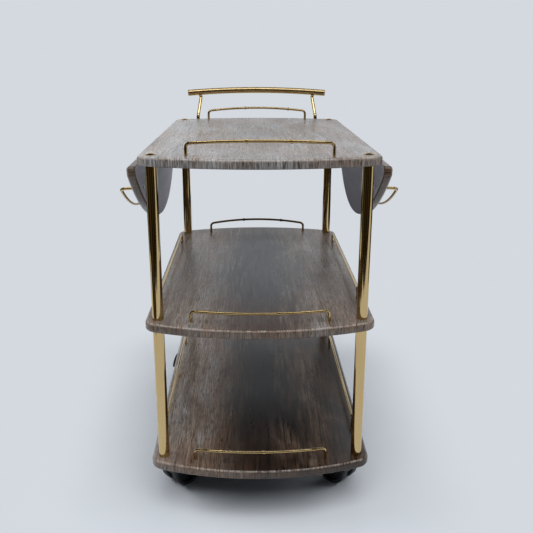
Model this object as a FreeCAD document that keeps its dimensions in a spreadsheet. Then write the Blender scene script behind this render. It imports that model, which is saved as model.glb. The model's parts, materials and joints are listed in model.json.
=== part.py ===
"""Serving trolley with two drop leaves: three bowed boards on tube posts, wire guard rails,
a push handle at the rear and four swivelling twin-wheel casters.

The frame: +Z up, the trolley's length along Y with the handle at +Y, origin on the floor at the
middle of the whole trolley.
"""
import FreeCAD, Part
import Sketcher
import math
import os
import re

# Driving dimensions in millimetres, and angles in degrees.
SIZES = {
    # Boards: three alike, with straight sides and bowed ends
    "shelf_width": 450,
    "shelf_length": 818,
    "end_bow": 46,
    "board_thickness": 18,
    "board_corner_radius": 32,
    "upper_edge_round": 6,
    "lower_edge_round": 4,
    "lower_bay_height": 285,
    "upper_bay_height": 303,
    # Posts: tubes clamped between the boards by a rod inside each stack
    "post_diameter": 22,
    "post_wall": 1.5,
    "post_side_inset": 25,
    "post_end_inset": 65.5,
    "rod_diameter": 8,
    "rod_hole_clearance": 0.5,
    "cap_diameter": 20,
    "cap_rim_height": 1,
    "cap_dome_height": 2.6,
    "cap_thread_depth": 2.2,
    "foot_nut_diameter": 15,
    "foot_nut_height": 6,
    "rod_foot_end": 2,
    "thread_clearance": 0.05,
    # Guard rails: bent wire, screwed on from under the boards
    "rail_wire": 6,
    "rail_height": 23,
    "rail_bend_radius": 9,
    "rail_knuckle_diameter": 8.4,
    "rail_knuckle_length": 3.2,
    "rail_shoulder_diameter": 7.4,
    "rail_shoulder_length": 5.4,
    "end_rail_inset": 91,
    "end_rail_setback": 48,
    "end_rail_bow": 22,
    "end_rail_arch": 6,
    "middle_front_rail_arch": 2,
    "side_rail_setback": 174,
    "side_rail_inset": 18,
    "leaf_rail_setback": 66,
    "leaf_rail_margin": 17,
    "leaf_rail_crown_margin": 30,
    "leaf_rail_height": 26,
    "leaf_rail_arch": 4,
    "rail_screw_shank": 3.4,
    "rail_screw_bite": 10,
    "rail_screw_head": 8,
    "rail_screw_head_height": 2.2,
    # Push handle behind the top board
    "handle_bar_diameter": 17,
    "handle_bar_wall": 1.5,
    "handle_bar_inset": 32,
    "handle_bar_bow": 20,
    "handle_bar_arch": 7,
    "handle_rise": 68,
    "handle_setback": 37,
    "handle_lean": 50,
    "stem_diameter": 9,
    "stem_inset": 61,
    "stem_toe_in": 6,
    "stem_foot_height": 8,
    "stem_bend_radius": 14,
    "stem_elbow_drop": 12,
    "stem_elbow_reach": 8,
    "stem_elbow_radius": 8,
    "end_cap_depth": 12,
    "end_cap_flange": 2,
    "end_cap_round": 1.5,
    "end_cap_clearance": 0.2,
    "joint_clearance": 0.05,
    # Drop leaves and their friction hinges
    "leaf_setback": 71,
    "leaf_end": 19,
    "leaf_crown": 136,
    "leaf_corner_radius": 12,
    "leaf_heel_radius": 8,
    "leaf_gap": 1,
    "leaf_rest_tilt": 3,
    "hinge_spread": 300,
    "hinge_width": 60,
    "hinge_reach": 45,
    "hinge_plate_thickness": 2,
    "hinge_axis_drop": 4,
    "hinge_barrel_diameter": 7,
    "hinge_knuckle_length": 28,
    "hinge_knuckle_clearance": 0.4,
    "hinge_pin_diameter": 4,
    "hinge_pin_head_diameter": 6,
    "hinge_pin_head_height": 1.5,
    "hinge_screw_gauge": 40,
    "hinge_screw_inset": 14,
    "hinge_corner_radius": 5,
    "running_clearance": 0.05,
    # Wood screws for the hinge and caster plates, and the play of every screw in its hole
    "wood_screw_shank": 3.6,
    "wood_screw_length": 14,
    "wood_screw_head": 7,
    "wood_screw_head_height": 1.8,
    "screw_hole_clearance": 0.3,
    # Casters
    "caster_height": 95,
    "caster_side_inset": 35,
    "caster_end_inset": 130,
    "caster_trail": 24,
    "caster_plate_size": 44,
    "caster_plate_thickness": 2.5,
    "caster_plate_round": 6,
    "caster_screw_gauge": 32,
    "king_pin_diameter": 10,
    "king_pin_length": 40,
    "king_boss_diameter": 24,
    "swivel_gap": 0.3,
    "caster_web": 16,
    "hood_thickness": 2.5,
    "hood_clearance": 1.5,
    "hood_lip": 3,
    "axle_boss_diameter": 28,
    "axle_diameter": 8,
    "axle_head_diameter": 15,
    "axle_head_height": 2,
    "wheel_diameter": 75,
    "wheel_width": 17,
    "wheel_gap": 18,
    "wheel_rim": 8.5,
    "wheel_hub_diameter": 22,
    "wheel_hub_recess": 3,
    "wheel_dish_outer": 7,
    "wheel_dish_inner": 3,
    "wheel_tread_round": 3.5,
    "wheel_side_play": 0.3,
    # How far every cut runs past the material
    "cut_overrun": 1,
}

# Where the two knuckles of each end rail sit along its bar, from -1 at the left end to 1 at the right.
KNUCKLE_SHARES = {
    "top_front_rail": (-0.19, 0.43),
    "top_rear_rail": (-0.25, 0.69),
    "middle_front_rail": (-0.43, 0.28),
    "middle_rear_rail": (-0.30, 0.55),
    "lower_front_rail": (-0.62, 0.05),
    "lower_rear_rail": (-0.40, 0.35),
}

# Which way each caster trails at rest, as a share of a whole turn from +X towards +Y.
CASTER_TURN_SHARES = {"front_left": 0.125, "front_right": 0.375, "rear_left": 0.66, "rear_right": 0.75}
WHOLE_TURN = 360

SIDES = {"left": -1, "right": 1}
ENDS = {"front": -1, "rear": 1}

doc = FreeCAD.newDocument("ServingTrolley")
sheet = doc.addObject("Spreadsheet::Sheet", "Sizes")
for row, (alias, number) in enumerate(SIZES.items(), start=1):
    sheet.set(f"A{row}", alias)
    sheet.set(f"B{row}", str(number))
    sheet.setAlias(f"B{row}", alias)
doc.recompute()

nodes = {}


def bound(text):
    """The same expression with each size read from the sheet."""
    return re.sub(r"\b[a-z]+(?:_[a-z]+)+\b", r"Sizes.\g<0>", text)


def value(text):
    """What an expression in the named sizes comes to."""
    return float(sheet.evalExpression(bound(text)))


def vector(*texts):
    return FreeCAD.Vector(*(value(text) for text in texts))


# Places that several pieces share, as expressions in the named sizes.
HALF_LENGTH = "(shelf_length / 2)"
POST_X = "(shelf_width / 2 - post_side_inset)"
POST_Y = "(shelf_length / 2 - post_end_inset)"
LOWER_Z = "caster_height"
MIDDLE_Z = "(caster_height + board_thickness + lower_bay_height)"
TOP_Z = f"({MIDDLE_Z} + board_thickness + upper_bay_height)"
BOARD_Z = {"lower": LOWER_Z, "middle": MIDDLE_Z, "top": TOP_Z}
END_RAIL_X = "(shelf_width / 2 - end_rail_inset)"
END_RAIL_Y = "(shelf_length / 2 - end_rail_setback)"
SIDE_RAIL_X = "(shelf_width / 2 - side_rail_inset)"
SIDE_RAIL_Y = "(shelf_length / 2 - side_rail_setback)"
STEM_X = "(shelf_width / 2 - stem_inset)"
STEM_Y = "(shelf_length / 2 - handle_setback)"
BAR_Y = f"({STEM_Y} + handle_lean)"
HINGE_X = "(shelf_width / 2 + leaf_gap / 2)"
HINGE_Z = f"({TOP_Z} - hinge_axis_drop)"
LEAF_HALF = "(shelf_length / 2 - leaf_setback)"
LEAF_RADIUS = f"(({LEAF_HALF}^2 + leaf_crown^2) / (2 * leaf_crown))"
LEAF_ARC_X = f"(leaf_gap / 2 + leaf_end + leaf_crown - {LEAF_RADIUS})"
LEAF_RAIL_RADIUS = f"({LEAF_RADIUS} - leaf_rail_margin)"
LEAF_RAIL_Y = f"({LEAF_HALF} - leaf_rail_setback)"
LEAF_RAIL_X = f"({LEAF_ARC_X} + sqrt({LEAF_RAIL_RADIUS}^2 - {LEAF_RAIL_Y}^2))"
CASTER_X = "(shelf_width / 2 - caster_side_inset)"
CASTER_Y = "(shelf_length / 2 - caster_end_inset)"
WHEEL_RADIUS = "(wheel_diameter / 2)"
CASTER_WIDTH = "(wheel_gap + 2 * wheel_width)"

# Radii of the holes that take screws: loose in a board or plate, and tight where the thread bites.
RAIL_SCREW_HOLE = "(rail_screw_shank / 2 + screw_hole_clearance)"
RAIL_SCREW_TAP = "(rail_screw_shank / 2 + thread_clearance)"
PLATE_SCREW_HOLE = "(wood_screw_shank / 2 + screw_hole_clearance)"
PLATE_SCREW_PILOT = "(wood_screw_shank / 2 + thread_clearance)"

# How far a swept rod's volume may stray from its section times its length.
VOLUME_TOLERANCE_SHARE = 0.01

# The boards' middle lies ahead of the origin, so that the whole length with the handle is centred.
REAR_REACH = f"({BAR_Y} + handle_bar_bow + handle_bar_diameter / 2)"
BOARD_SHIFT = FreeCAD.Vector(0, value(f"({HALF_LENGTH} - {REAR_REACH}) / 2"), 0)


def corners(x_text, y_text):
    """The four mirrored spots of one corner, as expression pairs."""
    return [(f"{x_sign} * {x_text}", f"{y_sign} * {y_text}") for y_sign in (-1, 1) for x_sign in (-1, 1)]


def end_rail_feet(ends=ENDS.values()):
    return [(f"{sign} * {END_RAIL_X}", f"{end} * {END_RAIL_Y}") for end in ends for sign in (-1, 1)]


STEM_FEET = [(f"{sign} * {STEM_X}", STEM_Y) for sign in (-1, 1)]
SHELF_RAIL_FEET = end_rail_feet() + corners(SIDE_RAIL_X, SIDE_RAIL_Y)
RAIL_FEET = {"top": end_rail_feet() + STEM_FEET, "middle": SHELF_RAIL_FEET, "lower": SHELF_RAIL_FEET}
LEAF_RAIL_FEET = [(LEAF_RAIL_X, f"{sign} * {LEAF_RAIL_Y}") for sign in (-1, 1)]
HINGE_Y = [f"{sign} * (hinge_spread / 2)" for sign in (-1, 1)]
HINGE_SCREWS = [f"({y} + {sign} * hinge_screw_gauge / 2)" for y in HINGE_Y for sign in (-1, 1)]
HINGE_SCREW_REACH = "(hinge_reach - hinge_screw_inset)"
TOP_HINGE_SCREWS = [
    (f"{sign} * ({HINGE_X} - {HINGE_SCREW_REACH})", y) for sign in SIDES.values() for y in HINGE_SCREWS
]
CASTER_SPOTS = {
    f"{end}_{side}": (f"{x_sign} * {CASTER_X}", f"{y_sign} * {CASTER_Y}")
    for end, y_sign in ENDS.items() for side, x_sign in SIDES.items()
}
PLATE_SCREWS = corners("(caster_screw_gauge / 2)", "(caster_screw_gauge / 2)")
CASTER_SCREWS = [
    (f"({x} + {dx})", f"({y} + {dy})") for x, y in CASTER_SPOTS.values() for dx, dy in PLATE_SCREWS
]


# Drawing helpers

def new_body(name):
    body = doc.addObject("PartDesign::Body", name)
    body.Label = name
    return body


def new_sketch(body, role, lift="0"):
    """A sketch on one of the body's own origin planes, lifted along that plane's normal."""
    sketch = body.newObject("Sketcher::SketchObject", "Sketch")
    plane = next(item for item in body.Origin.OriginFeatures if item.Role == role)
    sketch.AttachmentSupport = (plane, "")
    sketch.MapMode = "FlatFace"
    sketch.setExpression("AttachmentOffset.Base.z", bound(lift))
    return sketch


def pin_point(sketch, geometry, point, x_text, y_text):
    """Tie one point of a sketch to expressions for its two coordinates."""
    for kind, text in (("DistanceX", x_text), ("DistanceY", y_text)):
        index = sketch.addConstraint(Sketcher.Constraint(kind, -1, 1, geometry, point, value(text)))
        sketch.setExpression(f"Constraints[{index}]", bound(text))


def pin_radius(sketch, geometry, text):
    index = sketch.addConstraint(Sketcher.Constraint("Radius", geometry, value(text)))
    sketch.setExpression(f"Constraints[{index}]", bound(text))


def draw_circle(sketch, radius, x_text="0", y_text="0"):
    circle = Part.Circle(vector(x_text, y_text, "0"), FreeCAD.Vector(0, 0, 1), value(radius))
    index = sketch.addGeometry(circle, False)
    pin_radius(sketch, index, radius)
    pin_point(sketch, index, 3, x_text, y_text)


def draw_outline(sketch, points, bulges=None):
    """A closed outline through the points. bulges gives the radius of each side that is an outward arc."""
    bulges = bulges or {}
    first = sketch.GeometryCount
    spots = [vector(x, y, "0") for x, y in points]
    for index, start in enumerate(spots):
        end = spots[(index + 1) % len(spots)]
        if index in bulges:
            radius = value(bulges[index])
            half = (end - start).Length / 2
            outward = (end - start).cross(FreeCAD.Vector(0, 0, 1)).normalize()
            sagitta = radius - math.sqrt(radius ** 2 - half ** 2)
            side = Part.Arc(start, (start + end) / 2 + outward * sagitta, end)
        else:
            side = Part.LineSegment(start, end)
        sketch.addGeometry(side, False)
    # An arc that turns from its first point to its last keeps start 1 and end 2, as a line does.
    for index in range(len(spots)):
        following = (index + 1) % len(spots)
        sketch.addConstraint(Sketcher.Constraint("Coincident", first + index, 2, first + following, 1))
    for index, (x_text, y_text) in enumerate(points):
        pin_point(sketch, first + index, 1, x_text, y_text)
    for index, radius in bulges.items():
        pin_radius(sketch, first + index, radius)


def pad(body, sketch, length, middle=False, reverse=False):
    feature = body.newObject("PartDesign::Pad", "Pad")
    feature.Profile = sketch
    feature.setExpression("Length", bound(length))
    feature.Midplane = middle
    feature.Reversed = reverse
    return feature


def pocket(body, sketch, depth, middle=False, reverse=False):
    """A cut that has to take something away."""
    doc.recompute()
    before = body.Shape.Volume
    feature = body.newObject("PartDesign::Pocket", "Pocket")
    feature.Profile = sketch
    feature.setExpression("Length", bound(depth))
    feature.Midplane = middle
    feature.Reversed = reverse
    doc.recompute()
    if not body.Shape.Volume < before:
        raise RuntimeError(f"a cut in {body.Label} took nothing away")
    return feature


def revolve(body, sketch):
    feature = body.newObject("PartDesign::Revolution", "Revolution")
    feature.Profile = sketch
    feature.ReferenceAxis = (sketch, ["V_Axis"])
    feature.Angle = WHOLE_TURN
    return feature


def round_edges(body, radius, wanted):
    """Round every edge of the body that the test picks."""
    doc.recompute()
    base = body.Tip
    names = [f"Edge{index}" for index, edge in enumerate(base.Shape.Edges, start=1) if wanted(edge)]
    feature = body.newObject("PartDesign::Fillet", "Fillet")
    feature.Base = (base, names)
    feature.setExpression("Radius", bound(radius))
    return feature


def at_height(text):
    """Picks edges that lie flat at one height of the piece's own frame."""
    height = value(text)
    span = value("joint_clearance")
    return lambda edge: abs(edge.BoundBox.ZMin - height) < span and abs(edge.BoundBox.ZMax - height) < span


def is_upright(edge):
    if not isinstance(edge.Curve, Part.Line):
        return False
    along = edge.Curve.Direction
    return abs(along.z) > math.hypot(along.x, along.y)


def drill(body, spots, radius, depth, lift="0", reverse=False):
    """Round holes at the spots, from a level plane of the body."""
    sketch = new_sketch(body, "XY_Plane", lift)
    for x_text, y_text in spots:
        draw_circle(sketch, radius, x_text, y_text)
    return pocket(body, sketch, depth, reverse=reverse)


def shape_node(name, shape, placement=FreeCAD.Placement()):
    """A piece whose shape is worked out here, such as bent wire or a group of fasteners."""
    feature = doc.addObject("Part::Feature", name)
    feature.Label = name
    feature.Shape = shape
    feature.Placement = placement
    nodes[name] = feature
    return feature


def place(name, body, placement):
    body.Placement = placement
    nodes[name] = body


def moved(x_text, y_text, z_text):
    """A placement without a turn."""
    return FreeCAD.Placement(vector(x_text, y_text, z_text), FreeCAD.Rotation())


def level(x_text, y_text, z_text):
    """A spot measured from the boards' middle and the floor, as a placement without a turn."""
    return FreeCAD.Placement(vector(x_text, y_text, z_text) + BOARD_SHIFT, FreeCAD.Rotation())


def copies(master, placements):
    """Separate solids of one fastener."""
    return Part.makeCompound([master.Shape.transformed(spot.Matrix) for spot in placements])


# Boards

def board_blank(name):
    """A board with straight sides, bowed ends, rounded corners and rounded edges, standing on z = 0."""
    body = new_body(name)
    sketch = new_sketch(body, "XY_Plane")
    side_y = "(shelf_length / 2 - end_bow)"
    bow_radius = "(((shelf_width / 2)^2 + end_bow^2) / (2 * end_bow))"
    points = [
        ("shelf_width / 2", f"-{side_y}"), ("shelf_width / 2", side_y),
        ("-shelf_width / 2", side_y), ("-shelf_width / 2", f"-{side_y}"),
    ]
    draw_outline(sketch, points, {1: bow_radius, 3: bow_radius})
    pad(body, sketch, "board_thickness")
    round_edges(body, "board_corner_radius", is_upright)
    round_edges(body, "upper_edge_round", at_height("board_thickness"))
    round_edges(body, "lower_edge_round", at_height("0"))
    return body


def make_boards():
    for tier, z_text in BOARD_Z.items():
        name = "top_panel" if tier == "top" else f"{tier}_shelf"
        body = board_blank(name)
        rod_hole = "rod_diameter / 2 + rod_hole_clearance"
        drill(body, corners(POST_X, POST_Y), rod_hole, "board_thickness", reverse=True)
        drill(body, RAIL_FEET[tier], RAIL_SCREW_HOLE, "board_thickness", reverse=True)
        if tier == "top":
            drill(body, TOP_HINGE_SCREWS, PLATE_SCREW_PILOT, "wood_screw_length", reverse=True)
        if tier == "lower":
            drill(body, CASTER_SCREWS, PLATE_SCREW_PILOT, "wood_screw_length", reverse=True)
        place(name, body, level("0", "0", z_text))


# Posts, tie rods and nuts

def make_posts():
    bays = {
        "lower": (f"{LOWER_Z} + board_thickness", "lower_bay_height"),
        "upper": (f"{MIDDLE_Z} + board_thickness", "upper_bay_height"),
    }
    for bay, (z_text, length) in bays.items():
        for end, y_sign in ENDS.items():
            for side, x_sign in SIDES.items():
                name = f"{bay}_post_{end}_{side}"
                body = new_body(name)
                sketch = new_sketch(body, "XY_Plane")
                draw_circle(sketch, "post_diameter / 2")
                draw_circle(sketch, "post_diameter / 2 - post_wall")
                pad(body, sketch, length)
                place(name, body, level(f"{x_sign} * {POST_X}", f"{y_sign} * {POST_Y}", z_text))


def make_tie_rods():
    """One rod through each stack of posts, drawn tight between a cap nut and a nut underneath."""
    rod = doc.addObject("Part::Cylinder", "tie_rod_pattern")
    rod.setExpression("Radius", bound("rod_diameter / 2"))
    low = f"({LOWER_Z} - foot_nut_height - rod_foot_end)"
    high = f"({TOP_Z} + board_thickness + cap_thread_depth - joint_clearance)"
    rod.setExpression("Height", bound(f"{high} - {low}"))

    cap = new_body("cap_nut_pattern")
    bore = "(rod_diameter / 2 + thread_clearance)"
    crown = "(cap_rim_height + cap_dome_height)"
    sketch = new_sketch(cap, "XZ_Plane")
    draw_outline(sketch, [
        (bore, "0"), ("cap_diameter / 2", "0"), ("cap_diameter / 2", "cap_rim_height"), ("0", crown),
        ("0", "cap_thread_depth"), (bore, "cap_thread_depth"),
    ], {2: "((cap_diameter / 2)^2 + cap_dome_height^2) / (2 * cap_dome_height)"})
    revolve(cap, sketch)

    nut = doc.addObject("Part::Prism", "foot_nut_block")
    nut.Polygon = 6
    nut.setExpression("Circumradius", bound("foot_nut_diameter / 2"))
    nut.setExpression("Height", bound("foot_nut_height"))
    thread = doc.addObject("Part::Cylinder", "foot_nut_thread")
    thread.setExpression("Radius", bound(bore))
    thread.setExpression("Height", bound("foot_nut_height"))
    foot_nut = doc.addObject("Part::Cut", "foot_nut_pattern")
    foot_nut.Base = nut
    foot_nut.Tool = thread
    doc.recompute()

    spots = corners(POST_X, POST_Y)
    pieces = {
        "tie_rods": (rod, low),
        "cap_nuts": (cap, f"{TOP_Z} + board_thickness"),
        "foot_nuts": (foot_nut, f"{LOWER_Z} - foot_nut_height"),
    }
    for name, (master, z_text) in pieces.items():
        shape_node(name, copies(master, [level(x, y, z_text) for x, y in spots]))


# Bent wire

def rounded_path(points, radii):
    """Straight runs through the points, joined by tangent arcs."""
    edges = []
    start = points[0]
    for before, corner, after, radius in zip(points, points[1:], points[2:], radii):
        back = (before - corner).normalize()
        ahead = (after - corner).normalize()
        half_turn = (math.pi - back.getAngle(ahead)) / 2
        tangent = radius * math.tan(half_turn)
        crest = corner + (back + ahead).normalize() * (radius / math.cos(half_turn) - radius)
        if (corner + back * tangent - start).Length > value("joint_clearance"):
            edges.append(Part.LineSegment(start, corner + back * tangent).toShape())
        start = corner + ahead * tangent
        edges.append(Part.Arc(corner + back * tangent, crest, start).toShape())
    if (points[-1] - start).Length > value("joint_clearance"):
        edges.append(Part.LineSegment(start, points[-1]).toShape())
    return Part.Wire(edges)


def swept_rod(path, diameter):
    """A round rod along a path, checked against its section times its length."""
    first = path.Edges[0]
    heading = first.tangentAt(first.FirstParameter)
    ring = Part.Wire(Part.Circle(first.valueAt(first.FirstParameter), heading, diameter / 2).toShape())
    rod = path.makePipeShell([ring], True, False)
    expected = math.pi * diameter ** 2 / 4 * path.Length
    if not math.isclose(rod.Volume, expected, rel_tol=VOLUME_TOLERANCE_SHARE):
        raise RuntimeError("a bent rod has the wrong volume")
    return rod


def bowed_rail(left, right, rise, bow):
    """The path of a rail: a leg, a bend, a bar bowed by the vector bow, a bend and a leg."""
    bend = value("rail_bend_radius")
    low_corner = left + rise
    high_corner = right + rise
    if bow.Length == 0:
        return rounded_path([left, low_corner, high_corner, right], [bend, bend])
    half = (right - left).Length / 2
    reach = half * math.tan(2 * math.atan(bow.Length / half))
    crest = (low_corner + high_corner) / 2 + FreeCAD.Vector(bow).normalize() * reach
    run = crest - low_corner
    corner_turn = math.pi - (left - low_corner).getAngle(run)
    free_run = run.Length - bend * math.tan(corner_turn / 2)
    crest_turn = math.pi - (low_corner - crest).getAngle(high_corner - crest)
    bar_radius = free_run / math.tan(crest_turn / 2)
    return rounded_path([left, low_corner, crest, high_corner, right], [bend, bar_radius, bend])


def collar(bar, spot, diameter, length):
    """A ring round a bowed bar, at one parameter of the bar's arc."""
    half_turn = length / 2 / bar.Curve.Radius
    arc = Part.Arc(*(bar.valueAt(spot + turn) for turn in (-half_turn, 0, half_turn)))
    return swept_rod(Part.Wire([arc.toShape()]), diameter)


def rail_shape(path, rise, knuckle_shares=()):
    """A rail's wire with its stepped knuckles and a tapped hole in each leg."""
    rod = swept_rod(path, value("rail_wire"))
    bar = max(path.Edges, key=lambda edge: edge.Length)
    middle = (bar.FirstParameter + bar.LastParameter) / 2
    for share in knuckle_shares:
        spot = middle + share * (bar.LastParameter - middle)
        for ring in ("rail_shoulder", "rail_knuckle"):
            rod = rod.fuse(collar(bar, spot, value(f"{ring}_diameter"), value(f"{ring}_length")))
    radius = value(RAIL_SCREW_TAP)
    depth = value("rail_screw_bite + joint_clearance")
    for foot in (path.Edges[0].Vertexes[0].Point, path.Edges[-1].Vertexes[-1].Point):
        rod = rod.cut(Part.makeCylinder(radius, depth, foot, rise))
    return rod.removeSplitter()


def make_shelf_rails():
    rise = vector("0", "0", "rail_height")
    for tier, z_text in BOARD_Z.items():
        surface = f"{z_text} + board_thickness"
        for end, sign in ENDS.items():
            name = f"{tier}_{end}_rail"
            left = vector(f"-{END_RAIL_X}", f"{sign} * {END_RAIL_Y}", "0")
            right = vector(END_RAIL_X, f"{sign} * {END_RAIL_Y}", "0")
            arch = "middle_front_rail_arch" if name == "middle_front_rail" else "end_rail_arch"
            bow = vector("0", f"{sign} * end_rail_bow", arch)
            path = bowed_rail(left, right, rise, bow)
            shape_node(name, rail_shape(path, rise, KNUCKLE_SHARES[name]), level("0", "0", surface))
        if tier == "top":
            continue
        for side, sign in SIDES.items():
            near = vector(f"{sign} * {SIDE_RAIL_X}", f"-{SIDE_RAIL_Y}", "0")
            far = vector(f"{sign} * {SIDE_RAIL_X}", SIDE_RAIL_Y, "0")
            path = bowed_rail(near, far, rise, FreeCAD.Vector())
            shape_node(f"{tier}_{side}_rail", rail_shape(path, rise), level("0", "0", surface))


def screw_pattern(kind, length):
    """A pan-head screw pointing up: the shank stands on z = 0 and the head hangs below it."""
    body = new_body(f"{kind}_pattern")
    sketch = new_sketch(body, "XZ_Plane")
    shank = f"{kind}_shank / 2"
    head = f"{kind}_head / 2"
    low = f"-{kind}_head_height"
    points = [("0", low), (head, low), (head, "0"), (shank, "0"), (shank, length), ("0", length)]
    draw_outline(sketch, points)
    revolve(body, sketch)
    round_edges(body, f"{kind}_head_height / 2", at_height(low))
    doc.recompute()
    return body


def make_rail_screws(rail_screw):
    spots = [level(x, y, BOARD_Z[tier]) for tier, feet in RAIL_FEET.items() for x, y in feet]
    shape_node("rail_screws", copies(rail_screw, spots))


# Push handle

def make_handle():
    surface = value(f"{TOP_Z} + board_thickness")
    half = "(shelf_width / 2 - handle_bar_inset)"
    left = vector(f"-{half}", BAR_Y, "handle_rise")
    right = vector(half, BAR_Y, "handle_rise")
    crest = vector("0", f"{BAR_Y} + handle_bar_bow", "handle_rise + handle_bar_arch")
    path = Part.Wire([Part.Arc(left, crest, right).toShape()])
    outside = swept_rod(path, value("handle_bar_diameter"))
    inside = swept_rod(path, value("handle_bar_diameter - 2 * handle_bar_wall"))
    spot = FreeCAD.Placement(FreeCAD.Vector(0, 0, surface) + BOARD_SHIFT, FreeCAD.Rotation())
    shape_node("handle_bar", outside.cut(inside), spot)

    # Each stem stands on the board, leans back and turns outwards at an elbow to meet the bar from below.
    seat = swept_rod(path, value("handle_bar_diameter + 2 * joint_clearance"))
    bar_edge = path.Edges[0]
    middle = (bar_edge.FirstParameter + bar_edge.LastParameter) / 2

    def on_bar(sign, reach):
        """The point of the bar's middle line that lies so far to one side."""
        turn = math.asin(value(reach) / bar_edge.Curve.Radius)
        points = [bar_edge.valueAt(middle + turn), bar_edge.valueAt(middle - turn)]
        return max(points, key=lambda point: sign * point.x)

    for side, sign in SIDES.items():
        foot = vector(f"{sign} * {STEM_X}", STEM_Y, "0")
        knee = foot + vector("0", "0", "stem_foot_height")
        elbow = on_bar(sign, f"{STEM_X} - stem_toe_in") - vector("0", "0", "stem_elbow_drop")
        top = on_bar(sign, f"{STEM_X} - stem_toe_in + stem_elbow_reach")
        bends = [value("stem_bend_radius"), value("stem_elbow_radius")]
        rod = swept_rod(rounded_path([foot, knee, elbow, top], bends), value("stem_diameter"))
        stem = max(rod.cut(seat).Solids, key=lambda solid: solid.Volume)
        tap_depth = value("rail_screw_bite + joint_clearance")
        stem = stem.cut(Part.makeCylinder(value(RAIL_SCREW_TAP), tap_depth, foot))
        shape_node(f"{side}_handle_stem", stem.removeSplitter(), spot)

    cap = new_body("handle_end_cap_pattern")
    sketch = new_sketch(cap, "XZ_Plane")
    plug = "(handle_bar_diameter / 2 - handle_bar_wall - end_cap_clearance)"
    draw_outline(sketch, [
        ("0", "-end_cap_depth"), (plug, "-end_cap_depth"), (plug, "0"), ("handle_bar_diameter / 2", "0"),
        ("handle_bar_diameter / 2", "end_cap_flange"), ("0", "end_cap_flange"),
    ])
    revolve(cap, sketch)
    round_edges(cap, "end_cap_round", at_height("end_cap_flange"))
    doc.recompute()
    up = FreeCAD.Vector(0, 0, 1)
    first = bar_edge.tangentAt(bar_edge.FirstParameter)
    last = bar_edge.tangentAt(bar_edge.LastParameter)
    ends = [
        (bar_edge.valueAt(bar_edge.FirstParameter), first * -1),
        (bar_edge.valueAt(bar_edge.LastParameter), last),
    ]
    caps = [FreeCAD.Placement(point, FreeCAD.Rotation(up, outward)) for point, outward in ends]
    shape_node("handle_end_caps", copies(cap, caps), spot)


# Drop leaves and hinges

def leaf_placement(side):
    """From a leaf drawn level beside the hinge line to the leaf hanging at rest."""
    down = FreeCAD.Rotation(FreeCAD.Vector(0, 1, 0), value("90 + leaf_rest_tilt"))
    turn = FreeCAD.Rotation(FreeCAD.Vector(0, 0, 1), 0 if side == "right" else 180)
    axis = vector(f"{SIDES[side]} * {HINGE_X}", "0", HINGE_Z) + BOARD_SHIFT
    return FreeCAD.Placement(axis, turn.multiply(down))


def make_leaf(side, rail_screw, wood_screw):
    """A D-shaped leaf with its rail, drawn raised, with the hinge axis along Y through the origin."""
    spot = leaf_placement(side)
    name = f"{side}_leaf"
    body = new_body(name)
    sketch = new_sketch(body, "XY_Plane", "hinge_axis_drop")
    near = "(leaf_gap / 2)"
    far = f"({near} + leaf_end)"
    front = f"-{LEAF_HALF}"
    points = [(near, front), (far, front), (far, LEAF_HALF), (near, LEAF_HALF)]
    draw_outline(sketch, points, {1: LEAF_RADIUS})
    pad(body, sketch, "board_thickness")
    beyond = value(f"{near} + leaf_end / 2")
    round_edges(body, "leaf_corner_radius", lambda edge: is_upright(edge) and edge.BoundBox.XMin > beyond)
    round_edges(body, "leaf_heel_radius", lambda edge: is_upright(edge) and edge.BoundBox.XMax < beyond)
    round_edges(body, "upper_edge_round", at_height("hinge_axis_drop + board_thickness"))
    under = at_height("hinge_axis_drop")
    round_edges(body, "lower_edge_round", lambda edge: under(edge) and edge.BoundBox.XMax > beyond)
    drill(body, LEAF_RAIL_FEET, RAIL_SCREW_HOLE, "board_thickness", "hinge_axis_drop", reverse=True)
    flap_screws = [(HINGE_SCREW_REACH, y) for y in HINGE_SCREWS]
    drill(body, flap_screws, PLATE_SCREW_PILOT, "wood_screw_length", "hinge_axis_drop", reverse=True)
    place(name, body, spot)

    surface = "hinge_axis_drop + board_thickness"
    near_foot, far_foot = [vector(x, y, surface) for x, y in LEAF_RAIL_FEET]
    rise = vector("0", "0", "leaf_rail_height")
    crown = "(leaf_gap / 2 + leaf_end + leaf_crown - leaf_rail_crown_margin)"
    bow = vector(f"{crown} - {LEAF_RAIL_X}", "0", "leaf_rail_arch")
    shape_node(f"{side}_leaf_rail", rail_shape(bowed_rail(near_foot, far_foot, rise, bow), rise), spot)

    under_leaf = [moved(x, y, "hinge_axis_drop") for x, y in LEAF_RAIL_FEET]
    shape_node(f"{side}_leaf_rail_screws", copies(rail_screw, under_leaf), spot)
    on_flaps = [moved(x, y, "hinge_axis_drop - hinge_plate_thickness") for x, y in flap_screws]
    shape_node(f"{side}_flap_screws", copies(wood_screw, on_flaps), spot)


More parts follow.
